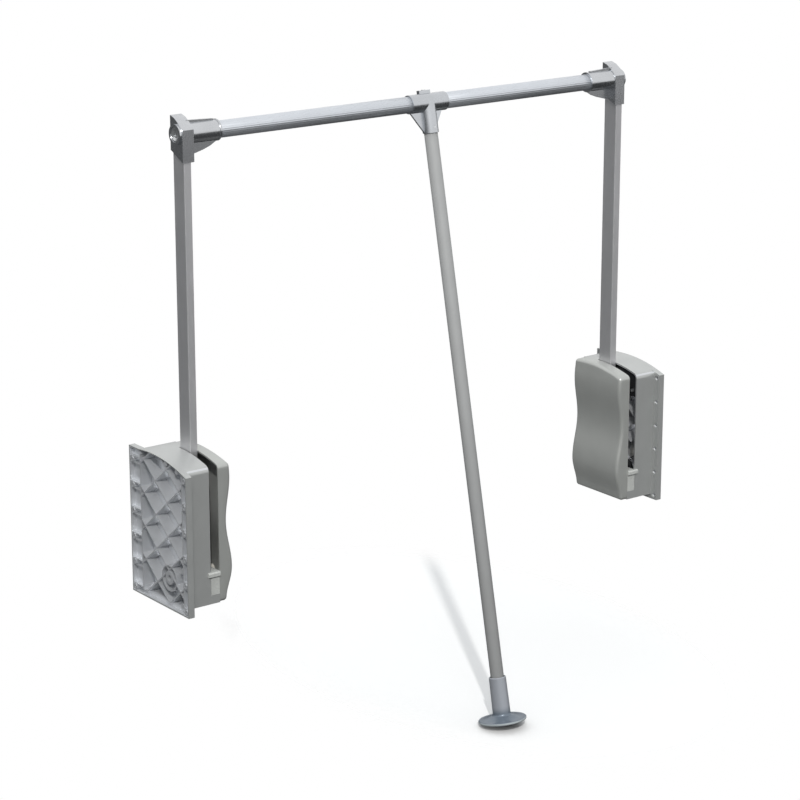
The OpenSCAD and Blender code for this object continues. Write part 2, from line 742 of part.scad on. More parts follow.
// Black guide plate beside the slot, under the curved top
module side_arm_guide() {
    color("#202123") difference() {
        along_x(guide_x, guide_t) intersection() {
            body_2d(wall_t + rest_gap);
            translate([-body_front, guide_z]) square([body_front + slot_rear - wall_t, flange_h]);
        }
        for (p = guide_bolts) rod_x(guide_x - over, guide_t + 2 * over, lever_bolt_r + lie_gap, p);
    }
}

module side_guide_screws() {
    x = guide_x + guide_t + lie_gap;
    color("#8f9295") for (p = guide_bolts) {
        rod_x(web_x + 2 * web_t, x - web_x - 2 * web_t + over, lever_bolt_r, p);
        difference() {
            rod_x(x, bolt_head_t * 2, bolt_head_r, p);
            rod_x(x + bolt_head_t, bolt_head_t * 2, lever_bolt_r / 2, p);
        }
    }
}

// Light block that the lowered arm rests on, with a cushion that laps over the front face
module side_stop_block() {
    nose = stop_out + lie_gap;
    color("#a8aaa6") {
        block([slot_x + rest_gap, -body_front - lie_gap, stop_low + rest_gap],
              [seam_x - rest_gap, -body_front + stop_d, stop_top]);
        along_x(slot_x - stop_lip, slot_w + stop_lip - rest_gap) polygon([
            [-body_front - lie_gap, stop_top], [-body_front - nose + stop_out / 2, stop_top],
            [-body_front - nose, stop_top - stop_out / 2],
            [-body_front - nose, stop_top - stop_lip_h + stop_out / 3],
            [-body_front - lie_gap, stop_top - stop_lip_h]
        ]);
        block([slot_x + rest_gap, -body_front + wall_t + rest_gap, body_low + wall_t],
              [seam_x - rest_gap, -body_front + stop_d, stop_low + 2 * rest_gap]);
    }
}

bracket_screw_z = rod_h - rod_r - bracket_wall - cover_head_r;

// Die-cast corner that joins the arm to the rod
module side_corner_bracket() {
    slope = bracket_rear_top - bracket_front_top;
    color("#8b8d8c") difference() {
        union() {
            along_x(bracket_x, bracket_w) translate([0, rod_h]) {
                polygon([
                    [-bracket_half, -bracket_front_low], [-bracket_half, bracket_front_top],
                    [-bracket_half / 3, bracket_front_top + slope * 0.48],
                    [bracket_half / 3, bracket_front_top + slope * 0.84],
                    [bracket_half, bracket_rear_top], [bracket_half, -bracket_rear_low]
                ]);
            }
            rod_x(bracket_x - ring_h, ring_h + bracket_w + socket_len, socket_r, [0, rod_h]);
            rod_x(bracket_face + socket_len - wall_t, wall_t, socket_r + bracket_wall / 2, [0, rod_h]);
            along_y(-gusset_t / 2, gusset_t) translate([bracket_face, rod_h]) polygon([
                for (p = gusset_shares) [p[0] * socket_len, -p[1] * socket_r * 2]
            ]);
            along_y(-gusset_t / 2, gusset_t) translate([bracket_face, rod_h]) polygon([
                [-bracket_in, 0], [socket_len * 0.9, 0], [socket_len * 0.86, socket_r + gusset_t / 2],
                [-bracket_in, socket_r + gusset_t]
            ]);
        }
        rod_x(bracket_x - ring_h - over, ring_h + over + seat_gap, ring_recess_r, [0, rod_h]);
        rod_x(rod_start, socket_len + bracket_w + over, rod_r + run_gap, [0, rod_h]);
        rod_x(bracket_x - over, bracket_w, rod_bolt_r + lie_gap, [0, rod_h]);
        translate([arm_inset, 0, arm_low]) linear_extrude(arm_high + seat_gap - arm_low)
            round_box_2d(arm_t + 2 * seat_gap, arm_d + 2 * seat_gap, arm_corner_r);
        translate([arm_inset, 0, bracket_screw_z]) rotate([-90, 0, 0])
            cylinder(h = arm_d, r = cover_screw_r + lie_gap);
    }
}
// Lower edge of the socket's gusset, as shares of the socket's length and diameter
gusset_shares = [[-0.05, 0], [-0.05, 1.03], [0.2, 1], [0.5, 0.87], [0.75, 0.72], [0.98, 0.5], [0.98, 0]];

module side_bracket_screw() {
    y = bracket_half;
    color("#9fa1a3") {
        translate([arm_inset, arm_d / 4, bracket_screw_z]) rotate([-90, 0, 0])
            cylinder(h = y - arm_d / 4, r = cover_screw_r);
        translate([arm_inset, y, bracket_screw_z]) rotate([-90, 0, 0])
            cylinder(h = cover_screw_r / 2, r = cover_head_r);
    }
}

// Plug in the end of the rod's tube, for the rod bolt
module side_rod_plug() {
    color("#2a2b2d") tube_x(rod_start + rod_wall, rod_r * 2, rod_r - rod_wall - lie_gap,
                            rod_bolt_r + lie_gap, [0, rod_h]);
}

module side_rod_bolt() {
    x = bracket_x + seat_gap - lie_gap;
    head_r = ring_recess_r - rest_gap;
    color("#c4c6c8") difference() {
        union() {
            rod_x(x, rod_start + rod_r - x, rod_bolt_r, [0, rod_h]);
            rod_x(x - wall_t, wall_t, head_r, [0, rod_h]);
        }
        translate([x - wall_t - over, 0, rod_h]) rotate([0, 90, 0])
            cylinder(h = wall_t * 0.6 + over, r1 = head_r, r2 = rod_bolt_r * 1.4);
        translate([x - wall_t - over, 0, rod_h]) rotate([0, 90, 0])
            cylinder(h = wall_t * 0.9 + over, r = rod_bolt_r * 0.8, $fn = 6);
    }
}

module left_rod_tube() {
    color("#c5c9d0") tube_x(rod_start, left_rod_end - rod_start, rod_r, rod_r - rod_wall, [0, rod_h]);
}

module right_rod_tube() {
    color("#bfc2c8") tube_x(right_rod_start, outer_w - rod_start - right_rod_start, rod_r,
                            rod_r - rod_wall, [0, rod_h]);
}

module joining_tube() {
    color("#d0d2d6") tube_x(right_rod_start - join_left, join_left + join_right, join_r,
                            join_r - join_wall, [0, rod_h]);
}

// Places children in the handle's own frame: Z down the handle is negative, the rod's axis is X
module in_handle() { translate([0, 0, rod_h]) rotate([-handle_lean, 0, 0]) children(); }

// Collar on the rod with its fin, handle socket and top lug, cast in one piece
module handle_collar() {
    cx = collar_x + collar_len / 2;
    color("#a2a5aa") in_handle() difference() {
        union() {
            rod_x(collar_x, collar_len, collar_r);
            along_y(-handle_offset / 2 - fin_t / 2, fin_t) polygon([
                for (p = fin_shares) [collar_x + p[0] * collar_len, -p[1] * boss_end]
            ]);
            translate([cx, -handle_offset, -boss_end]) cylinder(h = boss_end - collar_wall, r = boss_out_r);
            translate([cx, -handle_offset, -collar_wall]) sphere(r = boss_out_r);
            block([cx - lug_len / 2, 0, rod_r], [cx + lug_len / 2, 2 * lug_screw_y, collar_r + lug_h]);
        }
        rod_x(collar_x - over, collar_len + 2 * over, rod_r + run_gap);
        translate([cx, -handle_offset, -boss_end - over])
            cylinder(h = boss_end + over - handle_top, r = handle_r + seat_gap);
        translate([cx, lug_screw_y, 0])
            cylinder(h = collar_r + lug_h + over, r = cover_screw_r + lie_gap);
        translate([cx, -boss_end, rivet_z]) rotate([-90, 0, 0])
            cylinder(h = boss_end * 2, r = cover_screw_r + lie_gap);
    }
}
rivet_z = -boss_end + boss_t * 5;
lug_screw_y = cover_head_r + lie_gap;
// Outline of the collar's fin, as shares of the collar's length and the socket's depth
fin_shares = [[0.01, 0], [0.01, 0.3], [0.16, 0.62], [0.33, 0.97], [0.5, 0.97], [0.66, 0.86], [0.76, 0.6],
              [0.88, 0.3], [0.92, 0]];

module collar_screw() {
    cx = collar_x + collar_len / 2;
    color("#808386") in_handle() {
        translate([cx, lug_screw_y, collar_r]) cylinder(h = lug_h, r = cover_screw_r);
        translate([cx, lug_screw_y, collar_r + lug_h]) cylinder(h = cover_screw_r / 2, r = cover_head_r);
    }
}

module handle_tube() {
    cx = collar_x + collar_len / 2;
    color("#a9abab") in_handle() difference() {
        translate([cx, -handle_offset, -handle_len + foot_bore_s])
            cylinder(h = handle_len - foot_bore_s - handle_top - seat_gap, r = handle_r);
        translate([cx, -handle_offset, -handle_len])
            cylinder(h = handle_len, r = handle_r - handle_wall);
        translate([cx, -boss_end, rivet_z]) rotate([-90, 0, 0])
            cylinder(h = boss_end * 2, r = cover_screw_r + lie_gap);
    }
}

module handle_rivet() {
    cx = collar_x + collar_len / 2;
    color("#77797b") in_handle() {
        translate([cx, -handle_offset - boss_out_r, rivet_z]) rotate([-90, 0, 0])
            cylinder(h = 2 * boss_out_r, r = cover_screw_r);
        translate([cx, -handle_offset + boss_out_r, rivet_z]) rotate([-90, 0, 0])
            cylinder(h = cover_screw_r / 2, r = cover_head_r);
    }
}

// Foot with its sleeve, turned in one piece, and the rubber pad under it
module handle_foot() {
    cx = collar_x + collar_len / 2;
    flare = sleeve_r + foot_rim_t;
    color("#666f79") in_handle() translate([cx, -handle_offset, -handle_len]) difference() {
        rotate_extrude($fn = 96) polygon(concat(
            [[0, 0], [foot_r - foot_rim_t / 4, 0], [foot_r, foot_rim_t / 4], [foot_r, foot_rim_t * 0.75],
             [foot_r - foot_rim_t / 4, foot_rim_t]],
            [for (k = [0 : curve_steps]) let (t = k / curve_steps)
                [foot_r - foot_rim_t + (flare - foot_r + foot_rim_t) * t,
                 foot_rim_t + foot_dome * (1 - cos(90 * t)) * 0.5 + foot_dome * t * 0.2]],
            [for (k = [1 : curve_steps]) let (a = 90 * k / curve_steps)
                [flare - foot_rim_t * sin(a) * 0.86,
                 foot_rim_t + foot_dome * 0.7 + foot_rim_t * (1 - cos(a))]],
            [[sleeve_r, sleeve_h - foot_rim_t / 4], [sleeve_r - foot_rim_t / 4, sleeve_h], [0, sleeve_h]]
        ));
        translate([0, 0, foot_bore_s - seat_gap]) cylinder(h = sleeve_h, r = handle_r + seat_gap);
        translate([0, 0, sleeve_h - foot_rim_t]) cylinder(h = foot_rim_t + over, r = sleeve_r - boss_t);
        translate([0, 0, -over]) cylinder(h = over + pad_t / 2, r = pad_r + lie_gap);
    }
}

module foot_pad() {
    cx = collar_x + collar_len / 2;
    color("#2c2d2f") in_handle() translate([cx, -handle_offset, -handle_len - pad_t / 2 - lie_gap]) difference() {
        cylinder(h = pad_t, r = pad_r, $fn = 96);
        for (r = [pad_r * 0.45, pad_r * 0.75]) translate([0, 0, -over]) difference() {
            cylinder(h = over + pad_t / 4, r = r + pad_t / 2);
            translate([0, 0, -over]) cylinder(h = over * 3 + pad_t / 4, r = r);
        }
    }
}

module left_wall_housing() { on_left() side_wall_housing(); }
module left_cover() { on_left() side_cover(); }
module left_cover_screws() { on_left() side_cover_screws(); }
module left_pivot_bushes() { on_left() side_pivot_bushes(); }
module left_pivot_shaft() { on_left() side_pivot_shaft(); }
module left_lever() { on_left() side_lever(); }
module left_lever_bolts() { on_left() side_lever_bolts(); }
module left_arm_tube() { on_left() side_arm_tube(); }
module left_lift_cam() { on_left() side_lift_cam(); }
module left_strut_cylinder() { on_left() side_strut_cylinder(); }
module left_strut_rod() { on_left() side_strut_rod(); }
module left_strut_shoe() { on_left() side_strut_shoe(); }
module left_strut_anchor() { on_left() side_strut_anchor(); }
module left_strut_clamp() { on_left() side_strut_clamp(); }
module left_arm_guide() { on_left() side_arm_guide(); }
module left_guide_screws() { on_left() side_guide_screws(); }
module left_stop_block() { on_left() side_stop_block(); }
module left_corner_bracket() { on_left() side_corner_bracket(); }
module left_bracket_screw() { on_left() side_bracket_screw(); }
module left_rod_plug() { on_left() side_rod_plug(); }
module left_rod_bolt() { on_left() side_rod_bolt(); }
module right_wall_housing() { on_right() side_wall_housing(); }
module right_cover() { on_right() side_cover(); }
module right_cover_screws() { on_right() side_cover_screws(); }
module right_pivot_bushes() { on_right() side_pivot_bushes(); }
module right_pivot_shaft() { on_right() side_pivot_shaft(); }
module right_lever() { on_right() side_lever(); }
module right_lever_bolts() { on_right() side_lever_bolts(); }
module right_arm_tube() { on_right() side_arm_tube(); }
module right_lift_cam() { on_right() side_lift_cam(); }
module right_strut_cylinder() { on_right() side_strut_cylinder(); }
module right_strut_rod() { on_right() side_strut_rod(); }
module right_strut_shoe() { on_right() side_strut_shoe(); }
module right_strut_anchor() { on_right() side_strut_anchor(); }
module right_strut_clamp() { on_right() side_strut_clamp(); }
module right_arm_guide() { on_right() side_arm_guide(); }
module right_guide_screws() { on_right() side_guide_screws(); }
module right_stop_block() { on_right() side_stop_block(); }
module right_corner_bracket() { on_right() side_corner_bracket(); }
module right_bracket_screw() { on_right() side_bracket_screw(); }
module right_rod_plug() { on_right() side_rod_plug(); }
module right_rod_bolt() { on_right() side_rod_bolt(); }

left_wall_housing();
left_cover();
left_cover_screws();
left_pivot_bushes();
left_pivot_shaft();
left_lever();
left_lever_bolts();
left_arm_tube();
left_lift_cam();
left_strut_cylinder();
left_strut_rod();
left_strut_shoe();
left_strut_anchor();
left_strut_clamp();
left_arm_guide();
left_guide_screws();
left_stop_block();
left_corner_bracket();
left_bracket_screw();
left_rod_plug();
left_rod_bolt();
right_wall_housing();
right_cover();
right_cover_screws();
right_pivot_bushes();
right_pivot_shaft();
right_lever();
right_lever_bolts();
right_arm_tube();
right_lift_cam();
right_strut_cylinder();
right_strut_rod();
right_strut_shoe();
right_strut_anchor();
right_strut_clamp();
right_arm_guide();
right_guide_screws();
right_stop_block();
right_corner_bracket();
right_bracket_screw();
right_rod_plug();
right_rod_bolt();
left_rod_tube();
right_rod_tube();
joining_tube();
handle_collar();
collar_screw();
handle_tube();
handle_rivet();
handle_foot();
foot_pad();
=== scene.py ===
import json
import math

import bmesh
import bpy
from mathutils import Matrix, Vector


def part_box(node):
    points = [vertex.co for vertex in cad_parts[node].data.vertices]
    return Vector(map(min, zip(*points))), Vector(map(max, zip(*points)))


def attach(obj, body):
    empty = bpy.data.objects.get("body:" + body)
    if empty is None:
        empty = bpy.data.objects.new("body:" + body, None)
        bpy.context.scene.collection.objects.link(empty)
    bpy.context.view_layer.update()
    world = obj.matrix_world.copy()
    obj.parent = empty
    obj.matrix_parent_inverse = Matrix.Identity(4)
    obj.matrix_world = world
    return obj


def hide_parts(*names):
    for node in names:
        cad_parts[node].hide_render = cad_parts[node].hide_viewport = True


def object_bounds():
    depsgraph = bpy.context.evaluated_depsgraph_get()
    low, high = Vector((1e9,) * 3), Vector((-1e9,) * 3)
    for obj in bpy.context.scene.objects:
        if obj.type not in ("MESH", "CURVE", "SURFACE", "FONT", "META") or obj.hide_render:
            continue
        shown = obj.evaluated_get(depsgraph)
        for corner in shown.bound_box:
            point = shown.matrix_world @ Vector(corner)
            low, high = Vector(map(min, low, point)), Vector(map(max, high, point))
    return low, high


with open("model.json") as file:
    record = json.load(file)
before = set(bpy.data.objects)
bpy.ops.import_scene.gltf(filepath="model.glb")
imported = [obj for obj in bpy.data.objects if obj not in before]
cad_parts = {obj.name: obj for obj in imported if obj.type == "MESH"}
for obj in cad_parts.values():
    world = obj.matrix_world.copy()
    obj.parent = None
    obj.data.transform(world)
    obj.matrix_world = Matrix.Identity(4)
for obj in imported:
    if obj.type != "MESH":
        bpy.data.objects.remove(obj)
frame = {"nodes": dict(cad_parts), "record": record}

CAD_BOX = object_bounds()
NODES = frame["nodes"]
SLOT_OF = {s["node"]: s["material_slot"] for s in frame["record"]["subparts"]}

# Part: sizes of the housing, in metres; its arched top lies on a circle of centre y, z and radius
OUTER_W = 1.110
ARM_X = 0.0665
SEAM_X = 0.0757
LIE_GAP = 0.0001
BODY_Y = (-0.077, 0.060)
BODY_LOW = -0.119
ARC_Y, ARC_Z, ARC_R = 0.01722, -0.18640, 0.33316

# Part: sizes of the rod and the handle, which leans forward
ROD_Z = 0.706
ROD_R = 0.015
ROD_WALL = 0.0018
COLLAR_X = 0.590
LEAN = math.radians(11.8)
HANDLE_OFFSET = 0.0035
HANDLE_LEN = 1.152
HANDLE_TOP = 0.0201
HANDLE_R = 0.0125
HANDLE_WALL = 0.0015
FOOT_SEAT = 0.021


# Part: colours
def srgb(text):
    """Linear colour of a six-digit screen colour."""
    out = []
    for i in (0, 2, 4):
        c = int(text[i:i + 2], 16) / 255
        out.append(c / 12.92 if c <= 0.04045 else ((c + 0.055) / 1.055) ** 2.4)
    return (*out, 1.0)


def grey(level):
    return (level, level, level, 1.0)


def shade(color, factor):
    """The colour made lighter or darker by a factor."""
    return (color[0] * factor, color[1] * factor, color[2] * factor, 1.0)


# Part: node tools
def put(socket, value):
    """Links another socket into this one, or sets its constant."""
    if isinstance(value, bpy.types.NodeSocket):
        socket.id_data.links.new(value, socket)
    else:
        socket.default_value = value


def add(tree, kind, **sockets):
    """A new node with some inputs put; in their names _ stands for a space."""
    node = tree.nodes.new(kind)
    for key, value in sockets.items():
        put(node.inputs[key.replace("_", " ")], value)
    return node


def maths(tree, kind, a, b=0.0):
    """One Math node; a and b are sockets or numbers."""
    node = tree.nodes.new("ShaderNodeMath")
    node.operation = kind
    put(node.inputs[0], a)
    put(node.inputs[1], b)
    return node.outputs[0]


def distance(tree, a, b):
    """Length of the hypotenuse over a and b."""
    squares = [maths(tree, "MULTIPLY", leg, leg) for leg in (a, b)]
    return maths(tree, "SQRT", maths(tree, "ADD", *squares))


# Inputs for a and b, and output, of a Mix node, which has its own for each kind of data
MIX_SOCKETS = {"FLOAT": (2, 3, 0), "RGBA": (6, 7, 2)}


def mix(tree, kind, fac, a, b):
    """The number or colour a where fac is 0 and b where it is 1."""
    from_a, from_b, result = MIX_SOCKETS[kind]
    node = tree.nodes.new("ShaderNodeMix")
    node.data_type = kind
    put(node.inputs[0], fac)
    put(node.inputs[from_a], a)
    put(node.inputs[from_b], b)
    return node.outputs[result]


def mix_shaders(tree, fac, a, b):
    """The shader a where fac is 0 and b where it is 1."""
    node = tree.nodes.new("ShaderNodeMixShader")
    for socket, value in zip(node.inputs, (fac, a, b)):
        put(socket, value)
    return node.outputs[0]


def fade(tree, value, low, high):
    """Goes smoothly from 0 at low to 1 at high."""
    node = add(tree, "ShaderNodeMapRange", Value=value, From_Min=low, From_Max=high)
    node.interpolation_type = "SMOOTHSTEP"
    return node.outputs["Result"]


def parts_of(tree, vector):
    """The x, y and z of a vector."""
    return add(tree, "ShaderNodeSeparateXYZ", Vector=vector).outputs


def own_place(tree):
    """The object's own coordinates, which at rest are the part's frame."""
    return tree.nodes.new("ShaderNodeTexCoord").outputs["Object"]


# Part: finishes
BROAD_SCALE = 22.0
BROAD_DETAIL = 3.0
BROAD_ROUGH = 0.55
FINE_DETAIL = 2.0
FINE_ROUGH = 0.6
NOISE_SPAN = (0.3, 0.7)
GLOSS_SPREAD = 0.08
BUMP_STRENGTH = 0.5
MM = 0.001


def noise(tree, place, scale, detail, rough):
    node = add(tree, "ShaderNodeTexNoise", Vector=place, Scale=scale, Detail=detail, Roughness=rough)
    return node.outputs["Fac"]


def noise_to(tree, value, low, high):
    """Maps the usual span of a noise onto low to high."""
    node = add(tree, "ShaderNodeMapRange", Value=value, From_Min=NOISE_SPAN[0], From_Max=NOISE_SPAN[1],
               To_Min=low, To_Max=high)
    return node.outputs["Result"]


def surface(name, text, rough, metal, grain, grain_mm, mottle, stretch=None):
    """Painted, moulded or satin finish: fine grain in the bump, soft variation of tone and gloss."""
    mat = bpy.data.materials.new(name)
    mat.use_nodes = True
    tree = mat.node_tree
    sockets = tree.nodes["Principled BSDF"].inputs
    color = srgb(text)
    place = own_place(tree)
    broad = noise(tree, place, BROAD_SCALE, BROAD_DETAIL, BROAD_ROUGH)
    if stretch:
        place = add(tree, "ShaderNodeMapping", Vector=place, Scale=stretch).outputs["Vector"]
    fine = noise(tree, place, grain, FINE_DETAIL, FINE_ROUGH)
    patches = noise_to(tree, broad, 0.0, 1.0)
    tone = mix(tree, "RGBA", patches, shade(color, 1 - mottle), shade(color, 1 + mottle))
    put(sockets["Base Color"], tone)
    put(sockets["Roughness"], noise_to(tree, fine, rough - GLOSS_SPREAD, rough + GLOSS_SPREAD))
    bump = add(tree, "ShaderNodeBump", Height=fine, Strength=BUMP_STRENGTH, Distance=grain_mm * MM)
    put(sockets["Normal"], bump.outputs["Normal"])
    put(sockets["Metallic"], metal)
    return mat


# Grain drawn out along the tubes
ALONG_X = (0.02, 1.0, 1.0)
ALONG_Z = (1.0, 1.0, 0.02)

# For each slot: colour, roughness, metal, scale and depth in mm of the grain, mottle, stretch
FINISHES = {
    "housing_plastic": ("b9bbba", 0.36, 0.50, 1400, 0.04, 0.03),
    "cover_plastic": ("b7b9b6", 0.38, 0.48, 1400, 0.04, 0.03),
    "steel_screw": ("d9dbdd", 0.25, 1.0, 700, 0.02, 0.04),
    "bush_plastic": ("d9d6cc", 0.5, 0.0, 900, 0.03, 0.06),
    "steel_shaft": ("cfd2d4", 0.22, 1.0, 1200, 0.01, 0.02, ALONG_X),
    "black_lever": ("2a2b2d", 0.42, 0.0, 800, 0.05, 0.06),
    "black_screw": ("4b4c4e", 0.3, 0.8, 700, 0.02, 0.06),
    "arm_aluminium": ("d4d4d6", 0.44, 0.85, 1800, 0.02, 0.03, ALONG_Z),
    "strut_black": ("1d1e20", 0.28, 0.0, 900, 0.02, 0.06),
    "black_plastic": ("252628", 0.45, 0.0, 1000, 0.05, 0.06),
    "stop_plastic": ("bcbebb", 0.6, 0.0, 260, 1.6, 0.10),
    "bracket_metal": ("c8cacd", 0.24, 1.0, 1200, 0.012, 0.05),
    "bolt_metal": ("dcdee0", 0.26, 1.0, 900, 0.02, 0.03),
    "rod_aluminium": ("d0d4da", 0.32, 0.75, 1800, 0.015, 0.02, ALONG_X),
    "joining_steel": ("d4d6d9", 0.2, 1.0, 1500, 0.01, 0.02, ALONG_X),
    "collar_metal": ("c4c7cb", 0.26, 1.0, 1200, 0.012, 0.05),
    "handle_aluminium": ("a4a5a5", 0.62, 0.0, 1800, 0.015, 0.03, ALONG_Z),
    "foot_plastic": ("6c7681", 0.34, 0.35, 1100, 0.04, 0.05),
    "pad_rubber": ("2e2f31", 0.7, 0.0, 600, 0.08, 0.06),
}
MATS = {name: surface(name, *finish) for name, finish in FINISHES.items()}

# Part: bare cast side of the housing, whose paler tone is partly painted light, inside its skin and in
# the hollow of its flange
# painted light: the cast colour is paler than the paint, so the wall-side lattice and the inside seen
# through the slot read as lit
CAST_AND_PAINTED_LIGHT_COLOR = srgb("d2d4d7")
CAST_ROUGH = 0.34
CAST_METAL = 0.56
SKIN_MARGIN = 0.0015
ARC_MARGIN = 0.0022
HOLLOW_HALF = 0.0908
HOLLOW_Z = (-0.1268, 0.1416)
HOLLOW_DEEP = 0.0102


def cast_and_painted_light_inside(mat):
    """Gives the hollow side of a housing its bare cast finish, paler in tone as painted light, by place
    in the part's frame.
    """
    tree = mat.node_tree
    sockets = tree.nodes["Principled BSDF"].inputs
    x, y, z = parts_of(tree, own_place(tree))

    def over(value, limit):
        return maths(tree, "GREATER_THAN", value, limit)

    def under(value, limit):
        return maths(tree, "LESS_THAN", value, limit)

    def all_of(first, *others):
        for test in others:
            first = maths(tree, "MULTIPLY", first, test)
        return first

    half_w = OUTER_W / 2
    from_middle = maths(tree, "ABSOLUTE", maths(tree, "SUBTRACT", x, half_w))
    from_wall = maths(tree, "SUBTRACT", half_w, from_middle)
    from_arc = distance(tree, maths(tree, "SUBTRACT", y, ARC_Y), maths(tree, "SUBTRACT", z, ARC_Z))
    inside = all_of(over(y, BODY_Y[0] + SKIN_MARGIN), under(y, BODY_Y[1] - SKIN_MARGIN),
                    over(z, BODY_LOW + SKIN_MARGIN), under(from_arc, ARC_R - SKIN_MARGIN))
    under_arc = maths(tree, "MAXIMUM", under(from_arc, ARC_R - ARC_MARGIN), over(y, BODY_Y[1]))
    hollow = all_of(under_arc, over(y, -HOLLOW_HALF), under(y, HOLLOW_HALF),
                    over(z, HOLLOW_Z[0]), under(z, HOLLOW_Z[1]), under(from_wall, HOLLOW_DEEP))
    # painted light: where the mask is set, the paler cast colour lightens the inside and the hollow
    mask = maths(tree, "MAXIMUM", inside, hollow)
    color, gloss, metal = sockets["Base Color"], sockets["Roughness"], sockets["Metallic"]
    put(color, mix(tree, "RGBA", mask, color.links[0].from_socket, CAST_AND_PAINTED_LIGHT_COLOR))
    put(gloss, mix(tree, "FLOAT", mask, gloss.links[0].from_socket, CAST_ROUGH))
    put(metal, mix(tree, "FLOAT", mask, metal.default_value, CAST_METAL))


# Part: tones of the foot, with a painted highlight on its rim, by place along the handle from the rod's
# axis
SLEEVE_COLOR = srgb("a3a7ae")
SLEEVE_FADE = (-1.139, -1.122)
# painted highlight: the rim's side is lightened as if it caught light from the white floor
RIM_HIGHLIGHT_COLOR = srgb("b4bcbf")
RIM_HIGHLIGHT_FADE = (-1.1474, -1.1484)


def foot_tones(mat):
    """Paler sleeve, and a painted highlight of the white floor on the rim, on the foot."""
    tree = mat.node_tree
    _, y, z = parts_of(tree, own_place(tree))
    up = maths(tree, "MULTIPLY", maths(tree, "SUBTRACT", z, ROD_Z), math.cos(LEAN))
    along = maths(tree, "ADD", up, maths(tree, "MULTIPLY", y, math.sin(LEAN)))
    color = tree.nodes["Principled BSDF"].inputs["Base Color"]
    for (low, high), tone in ((SLEEVE_FADE, SLEEVE_COLOR), (RIM_HIGHLIGHT_FADE, RIM_HIGHLIGHT_COLOR)):
        share = fade(tree, along, low, high)
        put(color, mix(tree, "RGBA", share, color.links[0].from_socket, tone))


foot_tones(MATS["foot_plastic"])
cast_and_painted_light_inside(MATS["housing_plastic"])

for node_name, obj in NODES.items():
    obj.data.materials.clear()
    obj.data.materials.append(MATS[SLOT_OF[node_name]])

# Part: rounded edges of the solids that show themselves
SIDE_EDGES = {"_wall_housing": 0.0008, "_corner_bracket": 0.0018, "_stop_block": 0.0012}
COLLAR_EDGE = 0.0016
FLAT_ANGLE = 0.5
EDGE_ANGLE = 32
EDGE_SEGMENTS = 3
LEVEL_WEIGHT = 50


def soften(obj, width):
    """Rounds the hard edges of a CAD solid, as its mould would."""
    flat = obj.modifiers.new("flat", "DECIMATE")
    flat.decimate_type = "DISSOLVE"
    flat.angle_limit = math.radians(FLAT_ANGLE)
    edge = obj.modifiers.new("edge", "BEVEL")
    edge.width = width
    edge.segments = EDGE_SEGMENTS
    edge.limit_method = "ANGLE"
    edge.angle_limit = math.radians(EDGE_ANGLE)
    edge.harden_normals = False
    edge.use_clamp_overlap = True
    level = obj.modifiers.new("level", "WEIGHTED_NORMAL")
    level.keep_sharp = False
    level.weight = LEVEL_WEIGHT


# Part: mesh tools
WELD = 2e-6


def piece(name, verts, faces, body, slot, flip=False):
    """A new mesh piece that rides on a body and takes a slot's finish; flip mirrors it to the right."""
    if flip:
        verts = [(OUTER_W - x, y, z) for x, y, z in verts]
        faces = [tuple(reversed(f)) for f in faces]
    mesh = bpy.data.meshes.new(name)
    mesh.from_pydata(verts, [], faces)
    mesh.validate()
    mesh.materials.append(MATS[slot])
    obj = bpy.data.objects.new(name, mesh)
    bpy.context.scene.collection.objects.link(obj)
    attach(obj, body)
    return obj


def tidy(obj, angle):
    """Welds doubles, makes normals point outwards and marks edges over the angle sharp."""
    work = bmesh.new()
    work.from_mesh(obj.data)
    bmesh.ops.remove_doubles(work, verts=work.verts, dist=WELD)
    bmesh.ops.recalc_face_normals(work, faces=work.faces)
    for edge in work.edges:
        edge.smooth = len(edge.link_faces) == 2 and edge.calc_face_angle(0) < math.radians(angle)
    work.to_mesh(obj.data)
    work.free()
    obj.data.shade_smooth()


def grid_faces(rows, cols, start=0, turn=False):
    """Quads over a grid of rows by cols points."""
    out = []
    for r in range(rows - 1):
        for c in range(cols - 1):
            low = start + r * cols + c
            quad = (low, low + 1, low + cols + 1, low + cols)
            out.append(tuple(reversed(quad)) if turn else quad)
    return out


# Part: cover of the housing; REACH holds the wave as shares of its height and reach past the arm
REACH = ((0.0, 0.025), (0.235, 0.038), (0.56, 0.027), (0.87, 0.036), (1.02, 0.033))
WAVE_H = 0.263
EDGE_R = 0.006
SKIN = 0.003
CELLS_ACROSS = 18
CELLS_UP = 44
EDGE_STEPS = 6
SKIRT_SHARES = (0.5, 1.0)
COVER_SHARP = 50


def top_z(y):
    """Height of the arched top."""
    return ARC_Z + math.sqrt(ARC_R ** 2 - (y - ARC_Y) ** 2)


def wave_x(z):
    """Place of the waved face at a height."""
    share = (z - BODY_LOW) / WAVE_H
    for (s0, r0), (s1, r1) in zip(REACH, REACH[1:]):
        if share <= s1:
            t = min(1.0, max(0.0, (share - s0) / (s1 - s0)))
            return ARM_X + r0 + (r1 - r0) * (1 - math.cos(math.pi * t)) / 2
    return ARM_X + REACH[-1][1]


def spread(count):
    """Lines over a sheet with rounded edges: share between the edges, nearness to one, and which one."""
    lines = []
    for k in range(EDGE_STEPS + 1):
        lines.append((0.0, math.cos(math.pi / 2 * k / EDGE_STEPS), -1))
    for k in range(1, count):
        lines.append((k / count, 0.0, 0))
    for k in range(EDGE_STEPS + 1):
        lines.append((1.0, math.cos(math.pi / 2 * (1 - k / EDGE_STEPS)), 1))
    return lines


